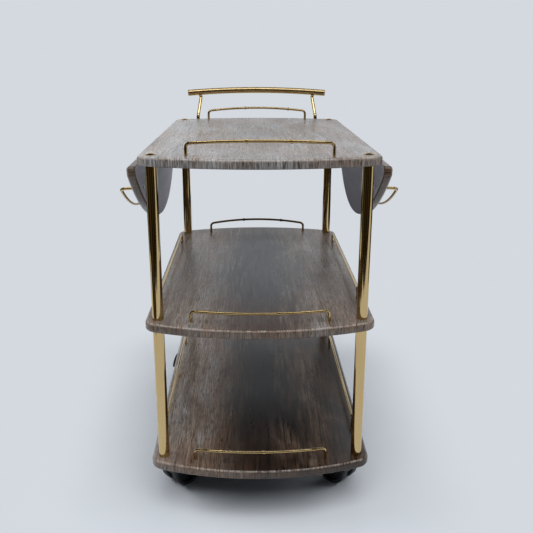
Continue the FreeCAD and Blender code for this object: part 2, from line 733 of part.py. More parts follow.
def hinge_half(name, sign):
    """Half a hinge with the axis along Y: a plate under a board and its share of the barrel.

    sign -1 is the fixed half with the outer knuckles, 1 the flap with the middle knuckle.
    """
    body = new_body(name)
    sketch = new_sketch(body, "XY_Plane", "hinge_axis_drop")
    near = f"{sign} * (leaf_gap / 2)"
    far = f"{sign} * hinge_reach"
    half = "(hinge_width / 2)"
    points = [(near, f"-{half}"), (far, f"-{half}"), (far, half), (near, half)]
    draw_outline(sketch, points if sign > 0 else points[::-1])
    pad(body, sketch, "hinge_plate_thickness", reverse=True)
    beyond = value("hinge_reach / 2")
    round_edges(body, "hinge_corner_radius",
                lambda edge: is_upright(edge) and sign * edge.BoundBox.Center.x > beyond)
    barrel = new_sketch(body, "XZ_Plane")
    draw_circle(barrel, "hinge_barrel_diameter / 2")
    pad(body, barrel, "hinge_width", middle=True)
    bore = new_sketch(body, "XZ_Plane")
    draw_circle(bore, "hinge_pin_diameter / 2 + running_clearance")
    pocket(body, bore, "hinge_width + cut_overrun", middle=True)

    # The other half's knuckles turn in these gaps.
    clear = "(hinge_barrel_diameter / 2 + hinge_knuckle_clearance)"
    gaps = new_sketch(body, "XY_Plane", "-hinge_barrel_diameter / 2 - cut_overrun")
    if sign < 0:
        spans = [("-hinge_knuckle_length / 2", "hinge_knuckle_length / 2")]
    else:
        inner = "(hinge_knuckle_length / 2 - hinge_knuckle_clearance)"
        outer = f"({half} + cut_overrun)"
        spans = [(f"-{outer}", f"-{inner}"), (inner, outer)]
    for low, high in spans:
        window = [(f"-{clear}", low), (clear, low), (clear, high), (f"-{clear}", high)]
        draw_outline(gaps, window)
    pocket(body, gaps, "hinge_barrel_diameter / 2 + hinge_axis_drop + 2 * cut_overrun", reverse=True)
    holes = [(f"{sign} * {HINGE_SCREW_REACH}", f"{turn} * hinge_screw_gauge / 2") for turn in (-1, 1)]
    drill(body, holes, PLATE_SCREW_HOLE, "hinge_plate_thickness", "hinge_axis_drop")
    doc.recompute()
    return body


def make_hinges():
    fixed = hinge_half("hinge_base_pattern", -1)
    flap = hinge_half("hinge_flap_pattern", 1)

    pin = new_body("hinge_pin_pattern")
    shaft = new_sketch(pin, "XZ_Plane")
    draw_circle(shaft, "hinge_pin_diameter / 2")
    pad(pin, shaft, "hinge_width + 2 * hinge_pin_head_height", middle=True)
    for sign in (-1, 1):
        head = new_sketch(pin, "XZ_Plane", f"{sign} * (hinge_width / 2)")
        draw_circle(head, "hinge_pin_head_diameter / 2")
        pad(pin, head, "hinge_pin_head_height", reverse=sign < 0)
    doc.recompute()

    along = [moved("0", y, "0") for y in HINGE_Y]
    fixed_spots = []
    for side, sign in SIDES.items():
        axis = vector(f"{sign} * {HINGE_X}", "0", HINGE_Z) + BOARD_SHIFT
        turn = FreeCAD.Rotation(FreeCAD.Vector(0, 0, 1), 0 if side == "right" else 180)
        hinge_line = FreeCAD.Placement(axis, turn)
        fixed_spots += [hinge_line.multiply(spot) for spot in along]
        shape_node(f"{side}_hinge_flaps", copies(flap, along), leaf_placement(side))
    shape_node("hinge_base_plates", copies(fixed, fixed_spots))
    shape_node("hinge_pins", copies(pin, fixed_spots))


def make_plate_screws(wood_screw):
    """The wood screws that hold the fixed hinge plates under the top and the caster plates."""
    spots = [level(x, y, f"{TOP_Z} - hinge_plate_thickness") for x, y in TOP_HINGE_SCREWS]
    spots += [level(x, y, f"{LOWER_Z} - caster_plate_thickness") for x, y in CASTER_SCREWS]
    shape_node("plate_screws", copies(wood_screw, spots))


# Casters

def caster_plate():
    """The fixed plate, drawn with its upper face at z = 0."""
    body = new_body("caster_plate_pattern")
    sketch = new_sketch(body, "XY_Plane")
    half = "(caster_plate_size / 2)"
    draw_outline(sketch, [(f"-{half}", f"-{half}"), (half, f"-{half}"), (half, half), (f"-{half}", half)])
    pad(body, sketch, "caster_plate_thickness", reverse=True)
    round_edges(body, "caster_plate_round", is_upright)
    drill(body, PLATE_SCREWS, PLATE_SCREW_HOLE, "caster_plate_thickness")
    drill(body, [("0", "0")], "king_pin_diameter / 2 + joint_clearance", "caster_plate_thickness")
    doc.recompute()
    return body


def king_pin():
    """The swivel pin riveted through the plate, flush with the plate's upper face."""
    pin = doc.addObject("Part::Cylinder", "king_pin_pattern")
    pin.setExpression("Radius", bound("king_pin_diameter / 2"))
    pin.setExpression("Height", bound("king_pin_length"))
    doc.recompute()
    return pin


def caster_housing(name):
    """The swivelling hood and web, with the swivel axis on Z and the floor at z = 0."""
    body = new_body(name)
    outer = f"({WHEEL_RADIUS} + hood_clearance + hood_thickness)"
    disc = new_sketch(body, "XZ_Plane")
    draw_circle(disc, outer, "caster_trail", WHEEL_RADIUS)
    pad(body, disc, CASTER_WIDTH, middle=True)
    top = "(caster_height - caster_plate_thickness - swivel_gap)"
    boss = new_sketch(body, "XY_Plane", top)
    draw_circle(boss, "king_boss_diameter / 2")
    pad(body, boss, f"{top} - {WHEEL_RADIUS}", reverse=True)
    for sign in (-1, 1):
        well = new_sketch(body, "XZ_Plane", f"{sign} * caster_web / 2")
        draw_circle(well, f"{WHEEL_RADIUS} + hood_clearance", "caster_trail", WHEEL_RADIUS)
        pocket(body, well, f"{CASTER_WIDTH} / 2", reverse=sign > 0)
    below = new_sketch(body, "XZ_Plane")
    edge = f"({WHEEL_RADIUS} + hood_lip)"
    low = f"({WHEEL_RADIUS} - {outer} - cut_overrun)"
    left = f"(caster_trail - {outer} - cut_overrun)"
    right = f"(caster_trail + {outer} + cut_overrun)"
    draw_outline(below, [(left, low), (right, low), (right, edge), (left, edge)])
    pocket(body, below, f"{CASTER_WIDTH} + cut_overrun", middle=True)
    axle_boss = new_sketch(body, "XZ_Plane")
    draw_circle(axle_boss, "axle_boss_diameter / 2", "caster_trail", WHEEL_RADIUS)
    pad(body, axle_boss, "caster_web", middle=True)
    axle_bore = new_sketch(body, "XZ_Plane")
    draw_circle(axle_bore, "axle_diameter / 2 + joint_clearance", "caster_trail", WHEEL_RADIUS)
    pocket(body, axle_bore, CASTER_WIDTH, middle=True)
    drill(body, [("0", "0")], "king_pin_diameter / 2 + running_clearance",
          "king_pin_length - caster_plate_thickness", top)
    return body


def caster_axle(name):
    """The axle along Y with a flat head outside each wheel."""
    body = new_body(name)
    outside = f"({CASTER_WIDTH} / 2 - wheel_hub_recess + wheel_side_play)"
    shaft = new_sketch(body, "XZ_Plane")
    draw_circle(shaft, "axle_diameter / 2")
    pad(body, shaft, f"2 * {outside} + axle_head_height", middle=True)
    for sign in (-1, 1):
        head = new_sketch(body, "XZ_Plane", f"{sign} * {outside}")
        draw_circle(head, "axle_head_diameter / 2")
        pad(body, head, "axle_head_height", reverse=sign < 0)
    return body


def caster_wheel(name):
    """One wheel about Y, with its inner face at y = 0 and its dished outer face towards +Y."""
    body = new_body(name)
    bore = "(axle_diameter / 2 + running_clearance)"
    hub = "(wheel_hub_diameter / 2)"
    rim = f"({WHEEL_RADIUS} - wheel_rim)"
    hub_face = "(wheel_width - wheel_hub_recess)"
    dish_face = "(wheel_width - wheel_dish_outer)"
    sketch = new_sketch(body, "XY_Plane")
    draw_outline(sketch, [
        (bore, "0"), (hub, "0"), (hub, "wheel_dish_inner"), (rim, "wheel_dish_inner"), (rim, "0"),
        (WHEEL_RADIUS, "0"), (WHEEL_RADIUS, "wheel_width"), (rim, "wheel_width"), (rim, dish_face),
        (hub, dish_face), (hub, hub_face), (bore, hub_face),
    ])
    revolve(body, sketch)
    tread = value(f"{WHEEL_RADIUS} - wheel_tread_round")

    def is_tread_corner(edge):
        return isinstance(edge.Curve, Part.Circle) and edge.Curve.Radius > tread

    round_edges(body, "wheel_tread_round", is_tread_corner)
    return body


def make_casters():
    plate_spots = [level(x, y, LOWER_Z) for x, y in CASTER_SPOTS.values()]
    shape_node("caster_plates", copies(caster_plate(), plate_spots))
    pin_spots = [level(x, y, f"{LOWER_Z} - king_pin_length") for x, y in CASTER_SPOTS.values()]
    shape_node("king_pins", copies(king_pin(), pin_spots))
    for corner, (x, y) in CASTER_SPOTS.items():
        swivel = level(x, y, "0")
        swivel.Rotation = FreeCAD.Rotation(FreeCAD.Vector(0, 0, 1), WHOLE_TURN * CASTER_TURN_SHARES[corner])
        place(f"caster_housing_{corner}", caster_housing(f"caster_housing_{corner}"), swivel)
        axle = swivel.multiply(moved("caster_trail", "0", WHEEL_RADIUS))
        place(f"caster_axle_{corner}", caster_axle(f"caster_axle_{corner}"), axle)
        for letter, turn in (("a", 0), ("b", 180)):
            name = f"caster_wheel_{corner}_{letter}"
            face = FreeCAD.Rotation(FreeCAD.Vector(0, 0, 1), turn)
            out = face.multVec(vector("0", "wheel_gap / 2", "0"))
            place(name, caster_wheel(name), axle.multiply(FreeCAD.Placement(out, face)))


def write_parts():
    """Check every object and write one file for each piece."""
    doc.recompute()
    for item in doc.Objects:
        if "Invalid" in item.State or "Error" in item.State:
            raise RuntimeError(f"{item.Label} failed: {item.State}")
    for name, item in nodes.items():
        if item.Shape.isNull() or not item.Shape.isValid() or not item.Shape.Solids:
            raise RuntimeError(f"{name} has no sound shape")
    os.makedirs("parts", exist_ok=True)
    for name, item in nodes.items():
        item.Shape.exportStep(f"parts/{name}.step")
    print(len(nodes), "nodes,", sum(len(item.Shape.Solids) for item in nodes.values()), "solids")


make_boards()
make_posts()
make_tie_rods()
make_shelf_rails()
rail_screw_length = "(board_thickness + rail_screw_bite)"
rail_screw_pattern = screw_pattern("rail_screw", rail_screw_length)
wood_screw_pattern = screw_pattern("wood_screw", "wood_screw_length")
make_rail_screws(rail_screw_pattern)
make_handle()
for leaf_side in SIDES:
    make_leaf(leaf_side, rail_screw_pattern, wood_screw_pattern)
make_hinges()
make_plate_screws(wood_screw_pattern)
make_casters()
write_parts()
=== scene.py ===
"""A serving trolley with drop leaves.

Foil-wrapped boards stand on brass-plated tubes, with wire guard rails, a push handle and black casters.
"""

import json
import math

import bpy
from mathutils import Matrix, Vector

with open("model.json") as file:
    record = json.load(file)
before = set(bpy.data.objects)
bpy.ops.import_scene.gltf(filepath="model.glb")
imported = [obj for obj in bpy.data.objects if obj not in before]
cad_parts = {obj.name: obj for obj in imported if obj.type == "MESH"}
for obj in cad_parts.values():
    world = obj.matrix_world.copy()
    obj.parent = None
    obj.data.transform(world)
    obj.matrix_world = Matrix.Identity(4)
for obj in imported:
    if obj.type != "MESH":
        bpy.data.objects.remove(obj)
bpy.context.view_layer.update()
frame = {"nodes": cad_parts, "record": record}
nodes = frame["nodes"]
scene = bpy.context.scene
MM = 0.001


def linear(hex_colour):
    """An sRGB hex colour as linear RGBA."""
    channels = [int(hex_colour[start:start + 2], 16) / 255 for start in (1, 3, 5)]
    curve = [c / 12.92 if c <= 0.04045 else ((c + 0.055) / 1.055) ** 2.4 for c in channels]
    return (*curve, 1.0)


def add(tree, kind, inputs=None, **settings):
    """Adds a node with its settings; each input takes a value or another node's output."""
    node = tree.nodes.new("ShaderNode" + kind)
    for name, setting in settings.items():
        setattr(node, name, setting)
    for socket, source in (inputs or {}).items():
        if isinstance(source, bpy.types.NodeSocket):
            tree.links.new(source, node.inputs[socket])
        else:
            node.inputs[socket].default_value = source
    return node


def new_material(name):
    """An empty material, its node tree and its output node."""
    material = bpy.data.materials.new(name)
    material.use_nodes = True
    material.node_tree.nodes.clear()
    return material, material.node_tree, add(material.node_tree, "OutputMaterial")


# Sockets of the Mix node, in its version for numbers and its version for colours
MIX_FROM, MIX_TO = 2, 3
MIX_A, MIX_B, MIX_COLOUR = 6, 7, 2

# The tones of the wood print, from its darkest to its palest
WOOD_STOPS = [(0.0, "#21160F"), (0.22, "#453628"), (0.42, "#66564A"),
              (0.58, "#817367"), (0.78, "#989593"), (1.0, "#BAB9B9")]
# What the print's warm patches keep of its light, and the colours of its finer marks and of the pale tone
# painted along the upper arris as its highlight
WARM_PATCH = "#FFEFE2"
PORE, SHAKE, FOLD, ARRIS_HIGHLIGHT = "#17110E", "#1D1613", "#2C211B", "#C6BDB6"
# How much the coarse, middle and fine streaks of the print count
CLOUD_WEIGHT, FIGURE_WEIGHT, GRAIN_WEIGHT = 0.85, 0.65, 1.1
# How far the print's contrast is pressed flat on the edges
EDGE_CALM = 0.55
# The smoky heart of the print, partly the print's own and partly painted shade under the boards above: its
# middle across a board, the distances from there within which it is full and beyond which it is gone, how far
# its sides waver, and how far they fray into streaks
HEART_SHADE_MIDDLE, HEART_SHADE_FULL, HEART_SHADE_GONE = 2 * MM, 24 * MM, 132 * MM
HEART_SHADE_WAVER, HEART_SHADE_FRAY = 130 * MM, 150 * MM
# Between these distances from the middle of the board's length the heart and its painted shade turn brown
HEART_SHADE_ENDS = (200 * MM, 380 * MM)
# What the heart and its painted shade leave of the print's light, in the middle and towards the ends
PALE_HEART_SHADE, DEEP_HEART_SHADE = ("#5B6376", "#9C8776"), ("#3E3F44", "#7E6C5E")


def wood_foil(name, back, lift_and_light=0.0, lean=0.0, heart_and_shade=1.0, heart_shade_tones=PALE_HEART_SHADE,
              across="X", depth="Z", under_sign=-1):
    """Chipboard wrapped in printed oak foil, pressed on with its grain embossed, and lacquered.

    The eye sees grey-brown grain that runs along the trolley and folds over the ends, with a dark middle
    that is partly the print's own smoky tone and partly painted shade, cloudy and warm patches, short dark
    shakes, a satin sheen broken by the pores, a pale tone painted along the upper arris as its highlight,
    and plain backing paper underneath in the two tones of back. lift is how far this board's tones lie above
    the middle of the print's, and lean how much they gain per metre across; on some boards they paint sheen,
    shade and light from one side. heart is how strong the dark middle is, and smoke its two tones. across
    and depth are the board's own axes, and under_sign is the way its underside faces along depth.
    """
    material, tree, output = new_material(name)
    surface = add(tree, "TexCoord")
    place = add(tree, "SeparateXYZ", {0: surface.outputs["Object"]})
    facing = add(tree, "SeparateXYZ", {0: surface.outputs["Normal"]})

    # 1 on the face, 0 on the edges and -1 underneath
    tilt = add(tree, "Math", {0: facing.outputs[depth], 1: -under_sign}, operation="MULTIPLY")
    on_edge = add(tree, "MapRange", {"Value": tilt.outputs[0], "From Min": 0.75, "From Max": 0.35})
    on_face = add(tree, "MapRange", {"Value": tilt.outputs[0], "From Min": 0.5, "From Max": 0.95})

    # Along the long edges the grain's fine direction is the board's thickness.
    edge_on = add(tree, "Math", {0: facing.outputs[across]}, operation="ABSOLUTE")
    on_long_edge = add(tree, "MapRange", {"Value": edge_on.outputs[0], "From Min": 0.55, "From Max": 0.8})
    fine = add(tree, "Mix", {0: on_long_edge.outputs[0], MIX_FROM: place.outputs[across],
                             MIX_TO: place.outputs[depth]})
    along = add(tree, "Math", {0: place.outputs["Y"], 1: place.outputs[depth]}, operation="ADD")
    sheet = add(tree, "CombineXYZ", {"X": fine.outputs[0], "Y": along.outputs[0]})

    def streaks(width, length, detail, distortion, shift=0.0):
        """A layer of the print, drawn out along the grain, one cell per width and length."""
        scaled = add(tree, "Mapping", {0: sheet.outputs[0], "Location": (shift, shift, 0),
                                       "Scale": (1 / width, 1 / length, 1)})
        noise = add(tree, "TexNoise", {"Vector": scaled.outputs[0], "Scale": 1, "Detail": detail,
                                       "Roughness": 0.6, "Distortion": distortion})
        return noise.outputs["Fac"]

    grain = streaks(2.2 * MM, 130 * MM, detail=4, distortion=0.5)
    figure = streaks(14 * MM, 230 * MM, detail=4, distortion=1.6)
    cloud = streaks(75 * MM, 210 * MM, detail=3, distortion=0.8, shift=3.0)
    warmth = streaks(70 * MM, 190 * MM, detail=2, distortion=0.5, shift=7.0)
    # Oak's pores are about a third of a millimetre wide, and are drawn coarser so that they show.
    pores = streaks(1.5 * MM, 26 * MM, detail=2, distortion=0.3)
    shakes = streaks(7 * MM, 48 * MM, detail=3, distortion=2.4, shift=17.0)
    crazing = streaks(3.6 * MM, 30 * MM, detail=3, distortion=0.8, shift=11.0)

    # The base tone is a half plus the lift and gains lean per metre across; on the top board and lower shelf
    # these also paint sheen, shade and light from the left, as set out under Finishes.
    # Three scales of the print, weighted about their mean of a half
    base_tone_and_light = add(tree, "Math", {0: place.outputs[across], 1: lean, 2: 0.5 + lift_and_light}, operation="MULTIPLY_ADD")
    tone = base_tone_and_light
    for layer, weight in ((cloud, CLOUD_WEIGHT), (figure, FIGURE_WEIGHT), (grain, GRAIN_WEIGHT)):
        part = add(tree, "Math", {0: layer, 1: weight, 2: -weight / 2}, operation="MULTIPLY_ADD")
        tone = add(tree, "Math", {0: part.outputs[0], 1: tone.outputs[0]}, operation="ADD")
    calm = add(tree, "Math", {0: on_edge.outputs[0], 1: EDGE_CALM}, operation="MULTIPLY")
    pressed = add(tree, "Mix", {0: calm.outputs[0], MIX_FROM: tone.outputs[0], MIX_TO: base_tone_and_light.outputs[0]})
    printed = add(tree, "ValToRGB", {0: pressed.outputs[0]})
    stops = printed.color_ramp.elements
    for index, (spot, colour) in enumerate(WOOD_STOPS):
        stop = stops[index] if index < len(stops) else stops.new(spot)
        stop.position = spot
        stop.color = linear(colour)
    warm_share = add(tree, "MapRange", {"Value": warmth, "From Min": 0.4, "From Max": 0.65})
    warmed = add(tree, "Mix", {0: warm_share.outputs[0], MIX_A: printed.outputs[0],
                               MIX_B: linear(WARM_PATCH)}, data_type="RGBA", blend_type="MULTIPLY")

    # The sides of the heart and its painted shade waver with the clouds and fray along the figure.
    waver = add(tree, "Math", {0: cloud, 1: HEART_SHADE_WAVER,
                               2: -(HEART_SHADE_WAVER + HEART_SHADE_FRAY) / 2 - HEART_SHADE_MIDDLE}, operation="MULTIPLY_ADD")
    fray = add(tree, "Math", {0: figure, 1: HEART_SHADE_FRAY, 2: waver.outputs[0]}, operation="MULTIPLY_ADD")
    off_heart_shade = add(tree, "Math", {0: place.outputs[across], 1: fray.outputs[0]}, operation="ADD")
    heart_shade_side = add(tree, "Math", {0: off_heart_shade.outputs[0]}, operation="ABSOLUTE")
    heart_shade_share = add(tree, "MapRange", {"Value": heart_shade_side.outputs[0], "From Min": HEART_SHADE_GONE,
                                         "From Max": HEART_SHADE_FULL, "To Max": heart_and_shade},
                      interpolation_type="SMOOTHSTEP")
    to_end = add(tree, "Math", {0: place.outputs["Y"]}, operation="ABSOLUTE")
    browning = add(tree, "MapRange", {"Value": to_end.outputs[0], "From Min": HEART_SHADE_ENDS[0],
                                      "From Max": HEART_SHADE_ENDS[1]})
    # Painted shade: the heart darkens the board's face, grey in the middle of its length and browner towards
    # the ends.
    haze = add(tree, "Mix", {0: browning.outputs[0], MIX_A: linear(heart_shade_tones[0]), MIX_B: linear(heart_shade_tones[1])},
               data_type="RGBA")
    heart_shade_on_face = add(tree, "Math", {0: heart_shade_share.outputs[0], 1: on_face.outputs[0]}, operation="MULTIPLY")
    heart_shaded = add(tree, "Mix", {0: heart_shade_on_face.outputs[0], MIX_A: warmed.outputs[MIX_COLOUR],
                               MIX_B: haze.outputs[MIX_COLOUR]}, data_type="RGBA", blend_type="MULTIPLY")

    # Dark pores all over, and a few short shakes
    pore_share = add(tree, "MapRange", {"Value": pores, "From Min": 0.51, "From Max": 0.62, "To Max": 0.8})
    pored = add(tree, "Mix", {0: pore_share.outputs[0], MIX_A: heart_shaded.outputs[MIX_COLOUR],
                              MIX_B: linear(PORE)}, data_type="RGBA")
    shake_share = add(tree, "MapRange", {"Value": shakes, "From Min": 0.63, "From Max": 0.7, "To Max": 0.7})
    shaken = add(tree, "Mix", {0: shake_share.outputs[0], MIX_A: pored.outputs[MIX_COLOUR],
                               MIX_B: linear(SHAKE)}, data_type="RGBA")

    # On the edges the foil is folded and the print breaks up into short dark streaks.
    crack = add(tree, "MapRange", {"Value": crazing, "From Min": 0.44, "From Max": 0.66, "To Max": 0.6})
    crack_share = add(tree, "Math", {0: crack.outputs[0], 1: on_edge.outputs[0]}, operation="MULTIPLY")
    folded = add(tree, "Mix", {0: crack_share.outputs[0], MIX_A: shaken.outputs[MIX_COLOUR],
                               MIX_B: linear(FOLD)}, data_type="RGBA")

    # The rounded arris lies between the face and the edge. Along the upper arris a pale tone is painted in as
    # the highlight of the light from above, broken up by the crazing.
    past_edge = add(tree, "MapRange", {"Value": tilt.outputs[0], "From Min": 0.3, "From Max": 0.75})
    before_face = add(tree, "MapRange", {"Value": tilt.outputs[0], "From Min": 0.995, "From Max": 0.93})
    arris = add(tree, "Math", {0: past_edge.outputs[0], 1: before_face.outputs[0]}, operation="MULTIPLY")
    thin = add(tree, "MapRange", {"Value": crazing, "From Min": 0.4, "From Max": 0.62, "To Max": 0.42})
    arris_highlight_share = add(tree, "Math", {0: arris.outputs[0], 1: thin.outputs[0]}, operation="MULTIPLY")
    arris_highlighted = add(tree, "Mix", {0: arris_highlight_share.outputs[0], MIX_A: folded.outputs[MIX_COLOUR],
                             MIX_B: linear(ARRIS_HIGHLIGHT)}, data_type="RGBA")

    # Backing paper, matt, on the underside
    under = add(tree, "MapRange", {"Value": tilt.outputs[0], "From Min": -0.75, "From Max": -0.9})
    backing_share = add(tree, "MapRange", {"Value": figure, "From Min": 0.3, "From Max": 0.7})
    backing = add(tree, "Mix", {0: backing_share.outputs[0], MIX_A: linear(back[0]), MIX_B: linear(back[1])},
                  data_type="RGBA")
    colour = add(tree, "Mix", {0: under.outputs[0], MIX_A: arris_highlighted.outputs[MIX_COLOUR],
                               MIX_B: backing.outputs[MIX_COLOUR]}, data_type="RGBA")

    satin = add(tree, "MapRange", {"Value": figure, "From Min": 0.3, "From Max": 0.7,
                                   "To Min": 0.25, "To Max": 0.36})
    gloss = add(tree, "Mix", {0: under.outputs[0], MIX_FROM: satin.outputs[0], MIX_TO: 0.85})
    relief = add(tree, "Bump", {"Strength": 0.35, "Distance": 0.2 * MM, "Height": pores})
    shader = add(tree, "BsdfPrincipled", {"Base Color": colour.outputs[MIX_COLOUR],
                                          "Roughness": gloss.outputs[0], "IOR": 1.55,
                                          "Normal": relief.outputs[0]})
    tree.links.new(shader.outputs[0], output.inputs["Surface"])
    return material


def brass_plate():
    """Steel tube and wire, polished and plated in brass colour.

    The eye sees a mirror tinted gold, with a slight ripple of the drawn tube and faint wiping marks, both
    drawn out along the upright tubes.
    """
    ripple_size = 30 * MM
    wipe_size = 26 * MM
    upright_stretch = 4
    material, tree, output = new_material("polished_brass_plate")
    surface = add(tree, "TexCoord")
    stretched = add(tree, "Mapping", {0: surface.outputs["Object"], "Scale": (1, 1, 1 / upright_stretch)})
    wipes = add(tree, "TexNoise", {"Vector": stretched.outputs[0], "Scale": 1 / wipe_size, "Detail": 5})
    ripple = add(tree, "TexNoise", {"Vector": stretched.outputs[0], "Scale": 1 / ripple_size, "Detail": 0})
    tint = add(tree, "Mix", {0: wipes.outputs["Fac"], MIX_A: linear("#C9AB74"), MIX_B: linear("#D8BF8E")},
               data_type="RGBA")
    haze = add(tree, "MapRange", {"Value": wipes.outputs["Fac"], "From Min": 0.35, "From Max": 0.7,
                                  "To Min": 0.05, "To Max": 0.11})
    relief = add(tree, "Bump", {"Strength": 0.07, "Distance": 0.05 * MM, "Height": ripple.outputs["Fac"]})
    shader = add(tree, "BsdfPrincipled", {"Base Color": tint.outputs[MIX_COLOUR], "Metallic": 1,
                                          "Roughness": haze.outputs[0], "Normal": relief.outputs[0]})
    tree.links.new(shader.outputs[0], output.inputs["Surface"])
    return material


def zinc_plate():
    """Steel screws, nuts, pins and pressed plates, zinc dipped: a bright cool grey, mottled by crystals."""
    spangle_size = 3.5 * MM
    material, tree, output = new_material("bright_zinc_plate")
    surface = add(tree, "TexCoord")
    spangle = add(tree, "TexVoronoi", {"Vector": surface.outputs["Object"], "Scale": 1 / spangle_size})
    tint = add(tree, "Mix", {0: spangle.outputs["Color"], MIX_A: linear("#9A9CA0"), MIX_B: linear("#C2C4C8")},
               data_type="RGBA")
    haze = add(tree, "MapRange", {"Value": spangle.outputs["Distance"], "To Min": 0.24, "To Max": 0.42})
    shader = add(tree, "BsdfPrincipled", {"Base Color": tint.outputs[MIX_COLOUR], "Metallic": 1,
                                          "Roughness": haze.outputs[0]})
    tree.links.new(shader.outputs[0], output.inputs["Surface"])
    return material


def black_nylon(name, dark, pale, grit_size, gloss):
    """Nylon, moulded black: a low sheen broken by the grit of the mould and by scuffs.

    The grit is drawn coarser than a real mould's, so that it shows.
    """
    scuff_size = 14 * MM
    material, tree, output = new_material(name)
    surface = add(tree, "TexCoord")
    grit = add(tree, "TexNoise", {"Vector": surface.outputs["Object"], "Scale": 1 / grit_size, "Detail": 3})
    scuffs = add(tree, "TexNoise", {"Vector": surface.outputs["Object"], "Scale": 1 / scuff_size,
                                    "Detail": 6})
    scuff_share = add(tree, "MapRange", {"Value": scuffs.outputs["Fac"], "From Min": 0.45, "From Max": 0.75})
    tint = add(tree, "Mix", {0: scuff_share.outputs[0], MIX_A: linear(dark), MIX_B: linear(pale)},
               data_type="RGBA")
    haze = add(tree, "MapRange", {"Value": scuffs.outputs["Fac"], "To Min": gloss - 0.08,
                                  "To Max": gloss + 0.12})
    relief = add(tree, "Bump", {"Strength": 0.4, "Distance": 0.1 * MM, "Height": grit.outputs["Fac"]})
    shader = add(tree, "BsdfPrincipled", {"Base Color": tint.outputs[MIX_COLOUR],
                                          "Roughness": haze.outputs[0], "IOR": 1.53,
                                          "Normal": relief.outputs[0]})
    tree.links.new(shader.outputs[0], output.inputs["Surface"])
    return material


# Finishes: one for each material slot of the record, and copies of the oak foil of their own for four boards

BOARD_BACK = ("#272321", "#383330")
LEAF_BACK = ("#D6D6DE", "#E2E2EA")
LEAF_LIFT = -0.08
FINISHES = {
    "wood_board": wood_foil("oak_foil_board", BOARD_BACK, lift_and_light=0.07),
    "gold_plate": brass_plate(),
    "zinc_steel": zinc_plate(),
    "black_nylon": black_nylon("moulded_black_nylon", "#141416", "#232326", grit_size=1.2 * MM, gloss=0.42),
    "wheel_nylon": black_nylon("black_nylon_tread", "#1A1A1C", "#2D2D30", grit_size=1.6 * MM, gloss=0.5),
}
OWN_FINISHES = {
    # The top board is paler as painted sheen, with a weak heart, and a little paler towards its left; the
    # lower shelf is darker as painted shade, with a deep heart shade, and paler towards its left as painted
    # light from there.
    "top_panel": wood_foil("oak_foil_painted_sheen_board", BOARD_BACK, lift_and_light=0.27, lean=-0.4, heart_and_shade=0.25),
    "lower_shelf": wood_foil("oak_foil_painted_shade_board", BOARD_BACK, lift_and_light=-0.13, lean=-1.4, heart_shade_tones=DEEP_HEART_SHADE),
    "left_leaf": wood_foil("oak_foil_left_leaf", LEAF_BACK, lift_and_light=LEAF_LIFT, across="Z", depth="X",
                           under_sign=1),
    "right_leaf": wood_foil("oak_foil_right_leaf", LEAF_BACK, lift_and_light=LEAF_LIFT, across="Z", depth="X",
                            under_sign=-1),
}
for part in frame["record"]["subparts"]:
    piece = nodes[part["node"]]
    piece.data.materials.clear()
    piece.data.materials.append(OWN_FINISHES.get(part["node"], FINISHES[part["material_slot"]]))


# Stage: a pale floor that runs out into the same pale backdrop

BACKDROP = "#D4D9DF"
FLOOR_PALE, FLOOR_DEEP = "#DCE1E8", "#D6DCE4"
FLOOR_RADIUS, FLOOR_SIDES = 7.0, 64
# Half the width and length of the shadow's core, and how far beyond it the paper takes the backdrop's tone
FOOTPRINT = (0.26, 0.38, 0)
FADE_REACH = 0.28


def seen_directly(tree):
    """1 for rays that show the surface itself or its mirror image, 0 for those that only carry its light."""
    ray = add(tree, "LightPath")
    mirrored = add(tree, "Math", {0: ray.outputs["Is Camera Ray"], 1: ray.outputs["Is Glossy Ray"]},
                   operation="ADD", use_clamp=True)
    return add(tree, "Math", {0: mirrored.outputs[0], 1: ray.outputs["Is Transmission Ray"]},
               operation="ADD", use_clamp=True)


def floor_paper():
    """Seamless background paper: matt, faintly mottled, and in the backdrop's own tone beyond the shadow."""
    mottle_size = 180 * MM
    material, tree, output = new_material("pale_background_paper")
    place = add(tree, "TexCoord")
    fibre = add(tree, "TexNoise", {"Vector": place.outputs["Object"], "Scale": 1 / mottle_size, "Detail": 4})
    tint = add(tree, "Mix", {0: fibre.outputs["Fac"], MIX_A: linear(FLOOR_PALE), MIX_B: linear(FLOOR_DEEP)},
               data_type="RGBA")
    paper = add(tree, "BsdfDiffuse", {"Color": tint.outputs[MIX_COLOUR]})
    quarter = add(tree, "VectorMath", {0: place.outputs["Object"]}, operation="ABSOLUTE")
    past = add(tree, "VectorMath", {0: quarter.outputs[0], 1: FOOTPRINT}, operation="SUBTRACT")
    outside = add(tree, "VectorMath", {0: past.outputs[0], 1: (0, 0, 0)}, operation="MAXIMUM")
    far = add(tree, "VectorMath", {0: outside.outputs[0]}, operation="LENGTH")
    fade = add(tree, "MapRange", {"Value": far.outputs["Value"], "From Max": FADE_REACH},
               interpolation_type="SMOOTHSTEP")
    share = add(tree, "Math", {0: fade.outputs[0], 1: seen_directly(tree).outputs[0]}, operation="MULTIPLY")
    glow = add(tree, "Emission", {"Color": linear(BACKDROP), "Strength": 1})
    mixed = add(tree, "MixShader", {0: share.outputs[0], 1: paper.outputs[0], 2: glow.outputs[0]})
    tree.links.new(mixed.outputs[0], output.inputs["Surface"])
    return material


